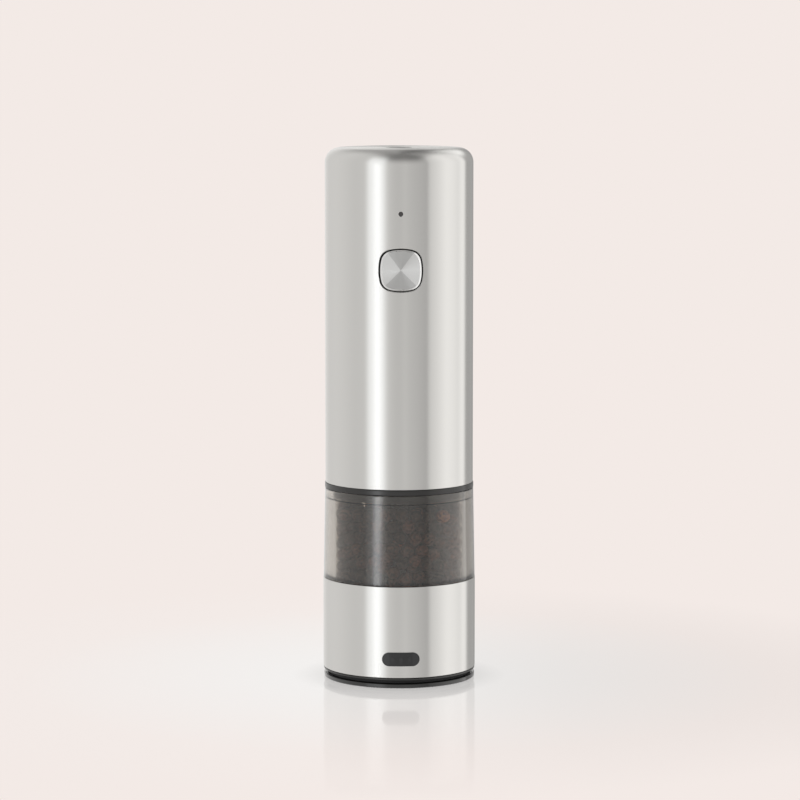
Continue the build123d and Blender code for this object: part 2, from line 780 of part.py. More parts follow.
def parts():
    """Every sub-part by its node name."""
    front, rear = chassis_halves()
    named = {
        "aroma_cap": aroma_cap(),
        "base_ring": base_ring(),
        "lower_sleeve": lower_sleeve(),
        "badge_plate": badge_plate(),
        "grinder_housing": grinder_housing(),
        "outer_burr": outer_burr(),
        "burr_retainer": burr_retainer(),
        "retainer_screws": retainer_screws(),
        "container": container(),
        "inner_burr": inner_burr(),
        "drive_shaft": drive_shaft(),
        "feed_agitator": feed_agitator(),
        "shaft_clip": shaft_clip(),
        "thrust_screw": thrust_screw(),
        "adjuster_knob": adjuster_knob(),
        "plug_base": plug_base(),
        "plug_seal": plug_seal(),
        "plug_screws": plug_screws(),
        "shell_collar": shell_collar(),
        "outer_shell": outer_shell(),
        "chassis_front": front,
        "chassis_rear": rear,
        "chassis_screws": chassis_screws(),
        "gearbox_housing": gearbox_housing(),
        "output_bush": output_bush(),
        "gearbox_screws": gearbox_screws(),
        "output_carrier": output_carrier(),
        "first_carrier": first_carrier(),
        "first_sun_gear": first_sun_gear(),
        "motor_plate": motor_plate(),
        "motor_screws": motor_screws(),
        "motor_can": motor_can(),
        "motor_magnets": motor_magnets(),
        "armature": armature(),
        "motor_shaft": motor_shaft(),
        "motor_end_cap": motor_end_cap(),
        "motor_terminals": motor_terminals(),
        "motor_leads": motor_leads(),
        "battery_cell": battery_cell(),
        "battery_contacts": battery_contacts(),
        "main_board": main_board(),
        "board_components": board_components(),
        "tact_switch": tact_switch(),
        "switch_plunger": switch_plunger(),
        "status_led": status_led(),
        "led_light_pipe": led_light_pipe(),
        "charge_board": charge_board(),
        "port_shell": port_shell(),
        "port_tongue": port_tongue(),
        "port_gasket": port_gasket(),
        "button_cap": button_cap(),
        "button_stem": button_stem(),
        "button_spring": button_spring(),
    }
    for number, angle in enumerate(PLANET_ANGLES, start=1):
        named[f"first_planet_{number}"] = planet_gear(angle, 78.2, 82.0)
        named[f"second_planet_{number}"] = planet_gear(angle, 71.7, 75.9)
    return named


os.makedirs("parts", exist_ok=True)
for name, shape in parts().items():
    export_step(shape, f"parts/{name}.step")
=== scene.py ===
import json
import math

import bmesh
import bpy
import numpy as np
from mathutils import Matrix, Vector


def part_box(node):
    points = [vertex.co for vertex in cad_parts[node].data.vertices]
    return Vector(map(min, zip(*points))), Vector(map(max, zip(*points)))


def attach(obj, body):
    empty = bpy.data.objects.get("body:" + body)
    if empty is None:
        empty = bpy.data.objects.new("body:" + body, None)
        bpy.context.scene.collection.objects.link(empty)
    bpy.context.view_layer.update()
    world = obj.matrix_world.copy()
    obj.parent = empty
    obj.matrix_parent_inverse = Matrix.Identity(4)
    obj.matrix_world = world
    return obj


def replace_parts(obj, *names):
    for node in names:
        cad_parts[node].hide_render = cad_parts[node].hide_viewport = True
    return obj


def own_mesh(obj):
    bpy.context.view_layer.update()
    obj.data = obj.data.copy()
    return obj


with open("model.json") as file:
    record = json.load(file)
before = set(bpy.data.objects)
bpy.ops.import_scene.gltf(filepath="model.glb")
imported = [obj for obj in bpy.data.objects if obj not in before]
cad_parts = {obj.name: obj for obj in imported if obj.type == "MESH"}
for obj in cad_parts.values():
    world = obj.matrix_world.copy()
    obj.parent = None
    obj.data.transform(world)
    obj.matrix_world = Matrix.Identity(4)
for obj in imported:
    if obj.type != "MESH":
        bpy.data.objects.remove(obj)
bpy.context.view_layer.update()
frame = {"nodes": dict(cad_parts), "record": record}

MM = 0.001
SEGMENTS = 256
# Turned outlines stop this far from the axis, so that no face is empty.
AXIS = 0.02
scene = bpy.context.scene
scene.view_settings.view_transform = "Standard"
scene.view_settings.look = "None"

BACKDROP = (0.896, 0.823, 0.791)


# --- Camera ---

def make_camera():
    """The camera stands in front of the button, a little to its left, and looks down by about six degrees."""
    distance = 1.150
    height = 0.221
    azimuth = math.radians(1.3)
    pitch = math.radians(6.25)
    sideways = 0.0003
    data = bpy.data.cameras.new("camera")
    data.sensor_width = 36
    data.lens = 152.4
    data.clip_start = 0.05
    data.clip_end = 20
    camera = bpy.data.objects.new("camera", data)
    scene.collection.objects.link(camera)
    right = Vector((math.cos(azimuth), -math.sin(azimuth), 0))
    forward = Vector((math.sin(azimuth), math.cos(azimuth), 0))
    camera.location = -forward * distance + right * sideways + Vector((0, 0, height))
    look = forward * math.cos(pitch) - Vector((0, 0, math.sin(pitch)))
    camera.rotation_mode = "QUATERNION"
    camera.rotation_quaternion = look.to_track_quat("-Z", "Y")
    scene.camera = camera


# --- Node helpers ---

class Tree:
    """Adds and links shader nodes with few words."""

    def __init__(self, tree):
        self.nodes = tree.nodes
        self.links = tree.links
        self.nodes.clear()

    def add(self, kind, settings=None, **inputs):
        node = self.nodes.new(kind)
        for key, value in (settings or {}).items():
            setattr(node, key, value)
        for key, value in inputs.items():
            self.feed(node, key.replace("_", " "), value)
        return node

    def feed(self, node, key, value):
        socket = node.inputs[int(key)] if key.isdigit() else node.inputs[key]
        if isinstance(value, bpy.types.NodeSocket):
            self.links.new(value, socket)
        else:
            socket.default_value = value

    def math(self, operation, first, second=0.0, third=0.0):
        node = self.nodes.new("ShaderNodeMath")
        node.operation = operation
        for index, value in enumerate((first, second, third)):
            self.feed(node, str(index), value)
        return node.outputs[0]

    def span(self, value, low, high, to_low=0.0, to_high=1.0, smooth=False):
        """value mapped from one range to another and clamped."""
        node = self.nodes.new("ShaderNodeMapRange")
        node.interpolation_type = "SMOOTHSTEP" if smooth else "LINEAR"
        for index, item in enumerate((value, low, high, to_low, to_high)):
            self.feed(node, str(index), item)
        return node.outputs[0]

    def mix(self, factor, first, second):
        node = self.nodes.new("ShaderNodeMix")
        node.data_type = "RGBA"
        self.feed(node, "0", factor)
        self.feed(node, "6", first)
        self.feed(node, "7", second)
        return node.outputs[2]

    def noise(self, vector, scale, detail=3.0, roughness=0.55):
        node = self.add("ShaderNodeTexNoise", Vector=vector, Scale=scale, Detail=detail, Roughness=roughness)
        return node.outputs["Fac"]


def rgb(red, green, blue):
    return (red, green, blue, 1.0)


def shade(colour, factor):
    """A colour made lighter or darker."""
    return rgb(*(min(1.0, channel * factor) for channel in colour[:3]))


def new_material(name):
    material = bpy.data.materials.new(name)
    material.use_nodes = True
    tree = Tree(material.node_tree)
    surface = tree.nodes.new("ShaderNodeBsdfPrincipled")
    output = tree.nodes.new("ShaderNodeOutputMaterial")
    tree.links.new(surface.outputs[0], output.inputs["Surface"])
    return material, tree, surface


def place(tree):
    return tree.nodes.new("ShaderNodeTexCoord").outputs["Object"]


def stretched(tree, vector, x, y, z):
    """The coordinates scaled along each axis."""
    node = tree.add("ShaderNodeVectorMath", {"operation": "MULTIPLY"})
    tree.feed(node, "0", vector)
    tree.feed(node, "1", (x, y, z))
    return node.outputs[0]


def bump(tree, surface, height, strength, distance):
    node = tree.add("ShaderNodeBump", Strength=strength, Distance=distance, Height=height)
    tree.links.new(node.outputs[0], surface.inputs["Normal"])


# --- Materials ---

def brushed_steel(name, colour, roughness, anisotropy):
    """Steel brushed round the upright axis: fine lines run round it and its highlights spread across them."""
    material, tree, surface = new_material(name)
    where = place(tree)
    lines = tree.noise(stretched(tree, where, 30.0, 30.0, 5200.0), 1.0, 4.0, 0.6)
    patches = tree.noise(where, 45.0, 3.0)
    lightness = tree.math("ADD", tree.math("MULTIPLY", lines, 0.5), tree.math("MULTIPLY", patches, 0.5))
    tone = tree.span(lightness, 0.3, 0.7)
    base = tree.mix(tone, shade(colour, 0.996), shade(colour, 1.003))
    tree.feed(surface, "Base Color", base)
    tree.feed(surface, "Roughness", tree.span(lines, 0.3, 0.7, roughness - 0.002, roughness + 0.002))
    surface.inputs["Metallic"].default_value = 1.0
    surface.inputs["Anisotropic"].default_value = anisotropy
    surface.inputs["Anisotropic Rotation"].default_value = 0.25
    tangent = tree.add("ShaderNodeTangent", {"direction_type": "RADIAL", "axis": "Z"})
    tree.links.new(tangent.outputs[0], surface.inputs["Tangent"])
    bump(tree, surface, lines, 0.0008, 0.00002)
    return material


def spun_metal(name, colour, roughness, anisotropy):
    """The button's face: spun in circles, in four fans, with the upper and lower fans darkened by painted
    shade in the base colour.
    """
    material, tree, surface = new_material(name)
    parts = tree.nodes.new("ShaderNodeSeparateXYZ")
    tree.links.new(place(tree), parts.inputs[0])
    sideways, _, upward = parts.outputs
    upward = tree.math("SUBTRACT", upward, BUTTON_Z * MM)
    sideways = tree.math("ABSOLUTE", sideways)
    slope = tree.math("MULTIPLY", tree.math("ARCTAN2", upward, sideways), 180 / math.pi)
    # Painted shade: the upper and lower fans get a darker base colour, standing in for how light falls on the
    # spun face.
    upper_painted_shade = tree.span(slope, 54.5, 90.0, 0.2, 0.1)
    upper = tree.math("MULTIPLY", tree.span(slope, 52.0, 54.5), upper_painted_shade)
    lower_painted_shade = tree.span(slope, -46.0, -90.0, 0.22, 0.12)
    lower = tree.math("MULTIPLY", tree.span(slope, -43.5, -46.0), lower_painted_shade)
    squares = tree.math("ADD", tree.math("POWER", sideways, 2.0), tree.math("POWER", upward, 2.0))
    ring = tree.math("SQRT", squares)
    circles = tree.add("ShaderNodeTexNoise", {"noise_dimensions": "1D"}, Scale=9000.0, Detail=3.0)
    tree.feed(circles, "W", ring)
    fans_with_painted_shade = tree.math("SUBTRACT", tree.math("SUBTRACT", 1.0, upper), lower)
    tone = tree.math("MULTIPLY", fans_with_painted_shade, tree.span(circles.outputs["Fac"], 0.3, 0.7, 0.985, 1.0))
    tree.feed(surface, "Base Color", tree.mix(tone, rgb(0.0, 0.0, 0.0), rgb(*colour)))
    surface.inputs["Roughness"].default_value = roughness
    surface.inputs["Metallic"].default_value = 1.0
    surface.inputs["Anisotropic"].default_value = anisotropy
    surface.inputs["Anisotropic Rotation"].default_value = 0.25
    tangent = tree.add("ShaderNodeTangent", {"direction_type": "RADIAL", "axis": "Y"})
    tree.links.new(tangent.outputs[0], surface.inputs["Tangent"])
    bump(tree, surface, circles.outputs["Fac"], 0.01, 0.00002)
    return material


def plain_metal(name, colour, roughness, grain_scale=900.0):
    """A machined or plated metal with soft colour patches, fine scratches and brighter edges."""
    material, tree, surface = new_material(name)
    where = place(tree)
    patches = tree.noise(where, 160.0, 4.0)
    grain = tree.noise(stretched(tree, where, 1.0, 1.0, 5.0), grain_scale, 3.0)
    edges = tree.span(tree.nodes.new("ShaderNodeNewGeometry").outputs["Pointiness"], 0.5, 0.58)
    base = tree.mix(tree.span(patches, 0.3, 0.7), shade(colour, 0.86), shade(colour, 1.06))
    tree.feed(surface, "Base Color", tree.mix(edges, base, shade(colour, 1.25)))
    tree.feed(surface, "Roughness", tree.span(grain, 0.3, 0.7, roughness - 0.05, roughness + 0.08))
    surface.inputs["Metallic"].default_value = 1.0
    bump(tree, surface, grain, 0.12, 0.00003)
    return material


def moulded(name, colour, roughness, texture_scale=2600.0, texture=0.15, coat=0.0):
    """A moulded plastic or rubber: fine surface texture, faint flow marks and slightly rubbed edges."""
    material, tree, surface = new_material(name)
    where = place(tree)
    flow = tree.noise(where, 70.0, 3.0)
    grain = tree.noise(where, texture_scale, 3.0)
    edges = tree.span(tree.nodes.new("ShaderNodeNewGeometry").outputs["Pointiness"], 0.5, 0.6)
    base = tree.mix(tree.span(flow, 0.3, 0.7), shade(colour, 0.88), shade(colour, 1.1))
    tree.feed(surface, "Base Color", tree.mix(edges, base, shade(colour, 1.5)))
    smudge = tree.math("ADD", tree.math("MULTIPLY", flow, 0.6), tree.math("MULTIPLY", grain, 0.4))
    roughest = min(1.0, roughness * 1.2)
    tree.feed(surface, "Roughness", tree.span(smudge, 0.3, 0.7, roughness * 0.85, roughest))
    surface.inputs["Coat Weight"].default_value = coat
    surface.inputs["Coat Roughness"].default_value = 0.06
    bump(tree, surface, grain, texture, 0.00003)
    return material


def smoked_clear(name):
    """Clear smoked acrylic with a few handling smudges."""
    material, tree, surface = new_material(name)
    where = place(tree)
    smudge = tree.noise(where, 90.0, 4.0)
    surface.inputs["Base Color"].default_value = rgb(0.62, 0.572, 0.515)
    tree.feed(surface, "Roughness", tree.span(smudge, 0.35, 0.75, 0.015, 0.06))
    surface.inputs["IOR"].default_value = 1.49
    surface.inputs["Transmission Weight"].default_value = 1.0
    surface.inputs["Coat Weight"].default_value = 1.0
    surface.inputs["Coat IOR"].default_value = 1.47
    surface.inputs["Coat Roughness"].default_value = 0.03
    return material


def ceramic(name, colour):
    """Unglazed burr ceramic with a fine sintered grain and specks."""
    material, tree, surface = new_material(name)
    where = place(tree)
    grain = tree.noise(where, 3200.0, 4.0)
    specks = tree.noise(where, 900.0, 2.0)
    base = tree.mix(tree.span(specks, 0.55, 0.7), rgb(*colour), shade(colour, 0.8))
    tree.feed(surface, "Base Color", base)
    tree.feed(surface, "Roughness", tree.span(grain, 0.3, 0.7, 0.45, 0.65))
    bump(tree, surface, grain, 0.2, 0.00003)
    return material


def board(name):
    """Circuit board: green mask over a grid of straight traces."""
    material, tree, surface = new_material(name)
    where = place(tree)
    weave = tree.add("ShaderNodeTexBrick", Vector=where, Scale=520.0)
    weave.inputs["Mortar Size"].default_value = 0.06
    copper = tree.span(weave.outputs["Fac"], 0.4, 0.6)
    tree.feed(surface, "Base Color", tree.mix(copper, rgb(0.015, 0.12, 0.05), rgb(0.05, 0.26, 0.1)))
    grain = tree.noise(where, 1500.0)
    tree.feed(surface, "Roughness", tree.span(grain, 0.3, 0.7, 0.25, 0.4))
    bump(tree, surface, weave.outputs["Fac"], 0.2, 0.00004)
    return material


def laminated(name):
    """Stacked motor laminations, seen as thin dark lines across the axis."""
    material, tree, surface = new_material(name)
    where = place(tree)
    waves = tree.add("ShaderNodeTexWave", {"bands_direction": "Z"}, Vector=where, Scale=640.0)
    sheets = tree.mix(waves.outputs["Fac"], rgb(0.1, 0.09, 0.08), rgb(0.36, 0.33, 0.31))
    tree.feed(surface, "Base Color", sheets)
    rust = tree.noise(where, 500.0)
    tree.feed(surface, "Roughness", tree.span(rust, 0.3, 0.7, 0.4, 0.6))
    surface.inputs["Metallic"].default_value = 0.8
    bump(tree, surface, waves.outputs["Fac"], 0.3, 0.00005)
    return material


def peppercorn(name):
    """Dried pepper skin: near black with brown ridges. Each corn has its own tone, and a few are rusty."""
    material, tree, surface = new_material(name)
    tint = tree.nodes.new("ShaderNodeAttribute")
    tint.attribute_name = "corn_tint"
    ridge = tree.nodes.new("ShaderNodeAttribute")
    ridge.attribute_name = "corn_ridge"
    where = place(tree)
    fleck = tree.noise(where, 1700.0, 4.0)
    dark = tree.mix(tint.outputs["Fac"], rgb(0.022, 0.013, 0.010), rgb(0.08, 0.036, 0.022))
    light = tree.mix(tint.outputs["Fac"], rgb(0.09, 0.046, 0.036), rgb(0.34, 0.13, 0.075))
    height = tree.math("ADD", ridge.outputs["Fac"], tree.span(fleck, 0.35, 0.65, -0.2, 0.2))
    skin = tree.mix(tree.span(height, 0.25, 0.85), dark, light)
    rust = tree.mix(tree.span(height, 0.2, 0.9), rgb(0.2, 0.06, 0.03), rgb(0.8, 0.3, 0.1))
    tree.feed(surface, "Base Color", tree.mix(tree.span(tint.outputs["Fac"], 0.9, 0.93), skin, rust))
    tree.feed(surface, "Roughness", tree.span(fleck, 0.3, 0.7, 0.5, 0.75))
    bump(tree, surface, fleck, 0.5, 0.00012)
    return material


STEEL = (0.80, 0.79, 0.77)
MATERIALS = {
    "shell_steel": lambda n: brushed_steel(n, STEEL, 0.27, 0.9),
    "sleeve_steel": lambda n: brushed_steel(n, STEEL, 0.27, 0.9),
    "button_metal": lambda n: spun_metal(n, (0.985, 0.985, 0.975), 0.47, 0.97),
    "trim_black": lambda n: moulded(n, (0.024, 0.023, 0.022), 0.22, 2200.0, 0.05, coat=0.25),
    "badge_dark": lambda n: moulded(n, (0.025, 0.025, 0.026), 0.38, 3000.0, 0.1),
    "smoked_clear": smoked_clear,
    "frame_plastic": lambda n: moulded(n, (0.03, 0.03, 0.032), 0.55, 2400.0, 0.3),
    "core_plastic": lambda n: moulded(n, (0.022, 0.020, 0.019), 0.45, 2000.0, 0.2),
    "burr_ceramic": lambda n: ceramic(n, (0.86, 0.85, 0.8)),
    "hard_steel": lambda n: plain_metal(n, (0.55, 0.55, 0.55), 0.3),
    "screw_steel": lambda n: plain_metal(n, (0.62, 0.62, 0.6), 0.28),
    "seal_rubber": lambda n: moulded(n, (0.02, 0.02, 0.021), 0.7, 3000.0, 0.35),
    "gear_plastic": lambda n: moulded(n, (0.82, 0.79, 0.7), 0.4, 2400.0, 0.12),
    "bush_brass": lambda n: plain_metal(n, (0.78, 0.56, 0.24), 0.3),
    "motor_steel": lambda n: plain_metal(n, (0.6, 0.6, 0.6), 0.35, 500.0),
    "magnet_ferrite": lambda n: moulded(n, (0.06, 0.06, 0.062), 0.6, 1800.0, 0.4),
    "lamination": laminated,
    "lead_red": lambda n: moulded(n, (0.45, 0.02, 0.015), 0.4, 2600.0, 0.1),
    "cell_wrap": lambda n: moulded(n, (0.03, 0.16, 0.4), 0.3, 2600.0, 0.05, coat=0.4),
    "board_green": board,
    "chip_black": lambda n: moulded(n, (0.02, 0.02, 0.02), 0.5, 3000.0, 0.25),
    "light_pipe": lambda n: moulded(n, (0.035, 0.033, 0.033), 0.15, 2000.0, 0.02, coat=0.8),
    "port_steel": lambda n: plain_metal(n, (0.66, 0.66, 0.65), 0.22),
}


def dress_cad_nodes():
    """Gives every CAD node the detailed material of its slot."""
    made = {slot: build(slot) for slot, build in MATERIALS.items()}
    for row in frame["record"]["subparts"]:
        node = frame["nodes"][row["node"]]
        node.data.materials.clear()
        node.data.materials.append(made[row["material_slot"]])
    return made


# --- Mesh helpers ---

def add_object(name, mesh, material, body):
    """Puts a finished mesh in the scene, riding on its body."""
    piece = bpy.data.objects.new(name, mesh)
    scene.collection.objects.link(piece)
    mesh.materials.clear()
    mesh.materials.append(material)
    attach(piece, body)
    return piece


def rounded_outline(corners, steps):
    """A closed outline with each corner (radius, height, rounding) made round.

    Returns its points and outward normals. The outline runs anticlockwise, with radius across and height up.
    """
    count = len(corners)
    points = []
    normals = []
    for index in range(count):
        here = np.array(corners[index][:2], float)
        before = np.array(corners[index - 1][:2], float)
        after = np.array(corners[(index + 1) % count][:2], float)
        into = (here - before) / np.linalg.norm(here - before)
        out = (after - here) / np.linalg.norm(after - here)
        turn = math.atan2(into[0] * out[1] - into[1] * out[0], float(into @ out))
        rounding = corners[index][2]
        side = math.copysign(1.0, turn)
        start = here - into * rounding * math.tan(abs(turn) / 2)
        left = np.array([-into[1], into[0]])
        centre = start + left * side * rounding
        for step in range(steps + 1):
            angle = turn * step / steps
            spoke = -left * side * rounding
            turned = np.array([
                spoke[0] * math.cos(angle) - spoke[1] * math.sin(angle),
                spoke[0] * math.sin(angle) + spoke[1] * math.cos(angle),
            ])
            points.append(centre + turned)
            normals.append(turned / rounding * side)
    return np.array(points), np.array(normals)


def subdivided(points, normals, longest):
    """The outline with extra points on its long straight runs."""
    more_points = []
    more_normals = []
    for index in range(len(points)):
        start, end = points[index], points[(index + 1) % len(points)]
        pieces = max(1, math.ceil(np.linalg.norm(end - start) / longest))
        for step in range(pieces):
            share = step / pieces
            more_points.append(start + (end - start) * share)
            blend = normals[index] * (1 - share) + normals[(index + 1) % len(points)] * share
            more_normals.append(blend / np.linalg.norm(blend))
    return np.array(more_points), np.array(more_normals)


def lathe_mesh(name, corners, longest=4.0, steps=8):
    """A closed solid of revolution from rounded corners in millimetres, with exact normals.

    Returns the mesh and its outline, so that normals can be found again after a cut.
    """
    points, normals = subdivided(*rounded_outline(corners, steps), longest)
    rows = len(points)
    angles = np.arange(SEGMENTS) * 2 * math.pi / SEGMENTS
    cosines, sines = np.cos(angles), np.sin(angles)
    vertices = np.empty((SEGMENTS, rows, 3))
    vertices[:, :, 0] = np.outer(cosines, points[:, 0])
    vertices[:, :, 1] = np.outer(sines, points[:, 0])
    vertices[:, :, 2] = points[:, 1]
    directions = np.empty((SEGMENTS, rows, 3))
    directions[:, :, 0] = np.outer(cosines, normals[:, 0])
    directions[:, :, 1] = np.outer(sines, normals[:, 0])
    directions[:, :, 2] = normals[:, 1]
    faces = []
    for i in range(SEGMENTS):
        j = (i + 1) % SEGMENTS
        for row in range(rows):
            above = (row + 1) % rows
            faces.append((i * rows + row, j * rows + row, j * rows + above, i * rows + above))
    mesh = bpy.data.meshes.new(name)
    mesh.from_pydata((vertices.reshape(-1, 3) * MM).tolist(), [], faces)
    mesh.polygons.foreach_set("use_smooth", [True] * len(mesh.polygons))
    mesh.normals_split_custom_set_from_vertices(directions.reshape(-1, 3).tolist())
    return mesh, (points, normals)


def exact_normals(mesh, outline, tolerance=0.004):
    """Sets each corner's normal from the turned outline where it lies on it, and else from its own face."""
    points, normals = outline
    runs = np.roll(points, -1, axis=0) - points
    lengths = (runs ** 2).sum(1)
    count = len(mesh.vertices)
    positions = np.empty(count * 3)
    mesh.vertices.foreach_get("co", positions)
    positions = positions.reshape(-1, 3) / MM
    flat = np.stack([np.hypot(positions[:, 0], positions[:, 1]), positions[:, 2]], 1)
    offsets = flat[:, None, :] - points[None]
    along = np.clip((offsets * runs).sum(2) / np.maximum(lengths, 1e-12), 0, 1)
    gaps = np.linalg.norm(offsets - along[:, :, None] * runs, axis=2)
    nearest = gaps.argmin(1)
    share = along[np.arange(count), nearest][:, None]
    mixed = normals[nearest] * (1 - share) + np.roll(normals, -1, axis=0)[nearest] * share
    spokes = positions[:, :2] / np.maximum(flat[:, :1], 1e-9)
    wanted = np.concatenate([spokes * mixed[:, :1], mixed[:, 1:]], 1)
    wanted /= np.linalg.norm(wanted, axis=1)[:, None]
    on_outline = gaps[np.arange(count), nearest] < tolerance
    corner_normals = []
    for polygon in mesh.polygons:
        own = np.array(polygon.normal)
        for vertex in polygon.vertices:
            close = on_outline[vertex] and float(own @ wanted[vertex]) > 0.9
            corner_normals.append((wanted[vertex] if close else own).tolist())
    mesh.polygons.foreach_set("use_smooth", [True] * len(mesh.polygons))
    mesh.normals_split_custom_set(corner_normals)


def squircle(half, bow, corner, count=128):
    """Points and outward normals, in the XZ plane, of a square with bowed sides and round corners."""
    k = half - bow
    side_radius = (k * k + bow * bow) / (2 * bow)
    drop = side_radius - half
    reach = side_radius - corner
    # The corner's centre (c, c) is at that reach from the side arc's centre (0, -drop).
    c = (-drop + math.sqrt(2 * reach * reach - drop * drop)) / 2
    tilt = math.atan2(c, c + drop)
    points = []
    normals = []
    quarter = count // 4
    side_steps = quarter // 2
    for turn in range(4):
        spin = -turn * math.pi / 2
        for step in range(quarter):
            if step < side_steps:
                angle = math.pi / 2 + tilt - 2 * tilt * step / side_steps
                centre, radius = (0.0, -drop), side_radius
            else:
                span = math.pi / 2 - 2 * tilt
                angle = math.pi / 2 - tilt - span * (step - side_steps) / (quarter - side_steps)
                centre, radius = (c, c), corner
            x = centre[0] + radius * math.cos(angle)
            z = centre[1] + radius * math.sin(angle)
            normal = (math.cos(angle), math.sin(angle))
            cosine, sine = math.cos(spin), math.sin(spin)
            points.append((x * cosine - z * sine, x * sine + z * cosine))
            normals.append((normal[0] * cosine - normal[1] * sine, normal[0] * sine + normal[1] * cosine))
    return np.array(points), np.array(normals)


def loft(name, rings):
    """A closed mesh through rings of equal point counts, in millimetres, with its faces turned outward."""
    count = len(rings[0])
    vertices = [tuple(np.array(point) * MM) for ring in rings for point in ring]
    faces = []
    for level in range(len(rings) - 1):
        low, high = level * count, (level + 1) * count
        for i in range(count):
            j = (i + 1) % count
            faces.append((low + i, low + j, high + j, high + i))
    faces.append(tuple(reversed(range(count))))
    last = (len(rings) - 1) * count
    faces.append(tuple(range(last, last + count)))
    mesh = bpy.data.meshes.new(name)
    mesh.from_pydata(vertices, [], faces)
    shape = bmesh.new()
    shape.from_mesh(mesh)
    if shape.calc_volume(signed=True) < 0:
        bmesh.ops.reverse_faces(shape, faces=shape.faces)
    shape.to_mesh(mesh)
    shape.free()
    return mesh


def cut(piece, cutters):
    """Cuts all the cutter meshes out of a piece at once."""
    joined = bmesh.new()
    for mesh in cutters:
        joined.from_mesh(mesh)
    together = bpy.data.meshes.new("cutter")
    joined.to_mesh(together)
    joined.free()
    cutter = bpy.data.objects.new("cutter", together)
    scene.collection.objects.link(cutter)
    modifier = piece.modifiers.new("cut", "BOOLEAN")
    modifier.operation = "DIFFERENCE"
    modifier.solver = "EXACT"
    modifier.object = cutter
    bpy.context.view_layer.update()
    graph = bpy.context.evaluated_depsgraph_get()
    result = bpy.data.meshes.new_from_object(piece.evaluated_get(graph))
    piece.modifiers.clear()
    piece.data = result
    bpy.data.objects.remove(cutter)


def smooth_by_angle(mesh, degrees=32.0):
    """Smooth faces with sharp edges where they turn by more than an angle."""
    mesh.polygons.foreach_set("use_smooth", [True] * len(mesh.polygons))
    mesh.set_sharp_from_angle(angle=math.radians(degrees))


# --- Steel shell with its openings ---

def middle_height(node):
    low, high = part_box(node)
    return (low.z + high.z) / 2 / MM


SHELL_R = 25.2
SHELL_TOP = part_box("outer_shell")[1].z / MM
SHELL_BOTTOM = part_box("outer_shell")[0].z / MM
BUTTON_Z = middle_height("button_cap")
LED_Z = middle_height("led_light_pipe")


def button_window():
    """The cutter for the button's window, with a small chamfer on its rim that follows the round shell."""
    points, normals = squircle(7.28, 1.12, 4.15)
    chamfer, chamfer_depth = 0.22, 0.2
    wide = points + normals * chamfer
    rim = [(x, -math.sqrt(SHELL_R ** 2 - x ** 2), BUTTON_Z + z) for x, z in wide]
    foot = [(x, -math.sqrt(SHELL_R ** 2 - x ** 2) + chamfer_depth, BUTTON_Z + z) for x, z in points]
    outside = [(x, -27.0, BUTTON_Z + z) for x, z in wide]
    inside = [(x, -20.0, BUTTON_Z + z) for x, z in points]
    return loft("button_window", [outside, rim, foot, inside])


def light_hole():
    """The cutter for the charging light's round hole."""
    rings = []
    for radius, y in ((1.0, -26.0), (0.95, -SHELL_R - 0.02), (0.79, -SHELL_R + 0.12), (0.79, -22.0)):
        ring = [
            (radius * math.cos(a), y, LED_Z + radius * math.sin(a))
            for a in np.arange(32) * 2 * math.pi / 32
        ]
        rings.append(ring)
    return loft("light_hole", rings)


def stadium(width, depth, count=48):
    """Points in XY of a bar's outline with round ends, long along X."""
    points = []
    radius = depth / 2
    reach = width / 2 - radius
    for i in range(count):
        angle = 2 * math.pi * (i + 0.5) / count
        shift = reach if math.cos(angle) > 0 else -reach
        points.append((shift + radius * math.cos(angle), radius * math.sin(angle)))
    return points


def port_slot():
    """The cutter for the charging slot, with the sharp corner taken off its rim."""
    rings = []
    low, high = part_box("port_shell")
    width = (high.x - low.x) / MM + 0.3
    depth = (high.y - low.y) / MM + 1.0
    for grow, z in ((0.9, 0.4), (0.12, 0.0), (0.04, -0.02), (0.0, -0.04), (0.0, -2.5)):
        rings.append([(x, y, SHELL_TOP + z) for x, y in stadium(width + grow, depth + grow)])
    return loft("port_slot", rings)


def alignment_tick(side):
    """The cutter for a short upright tick near the shell's lower edge."""
    middle, reach = 71.0, 1.6
    rings = []
    for half_width, x in ((0.45, 26.0), (0.4, SHELL_R), (0.3, SHELL_R - 0.25)):
        ring = []
        for angle in (np.arange(16) + 0.5) * 2 * math.pi / 16:
            end = middle + math.copysign(reach, math.sin(angle))
            ring.append((side * x, half_width * math.cos(angle), end + half_width * math.sin(angle)))
        rings.append(ring)
    return loft("alignment_tick", rings)


def make_shell(material, dark):
    """The drawn steel cup with a round top edge, cut for the button, the light, the slot and the ticks."""
    wall, top_rounding = 0.8, 5.0
    ceiling = SHELL_TOP - wall
    inner = SHELL_R - wall
    corners = [
        (AXIS, ceiling, 0.005), (inner, ceiling, top_rounding - wall), (inner, SHELL_BOTTOM, 0.12),
        (SHELL_R, SHELL_BOTTOM, 0.18), (SHELL_R, SHELL_TOP, top_rounding), (AXIS, SHELL_TOP, 0.005),
    ]
    mesh, outline = lathe_mesh("shell", corners, steps=14)
    shell = add_object("steel_shell", mesh, material, "drive_unit")
    cut(shell, [button_window(), light_hole(), port_slot(), alignment_tick(-1), alignment_tick(1)])
    exact_normals(shell.data, outline)
    shell.data.materials.clear()
    shell.data.materials.append(material)
    shell.data.materials.append(dark)
    # Painted shade: the charging slot's upright steel wall gets the dark rubber material, standing in for the
    # shade inside the slot.
    for polygon in shell.data.polygons:
        x, y, z = polygon.center / MM
        in_slot = abs(x) < 6.0 and abs(y) < 3.0 and z < SHELL_TOP - 0.04
        if in_slot and abs(polygon.normal.z) < 0.6:
            polygon.material_index = 1
    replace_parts(shell, "outer_shell")


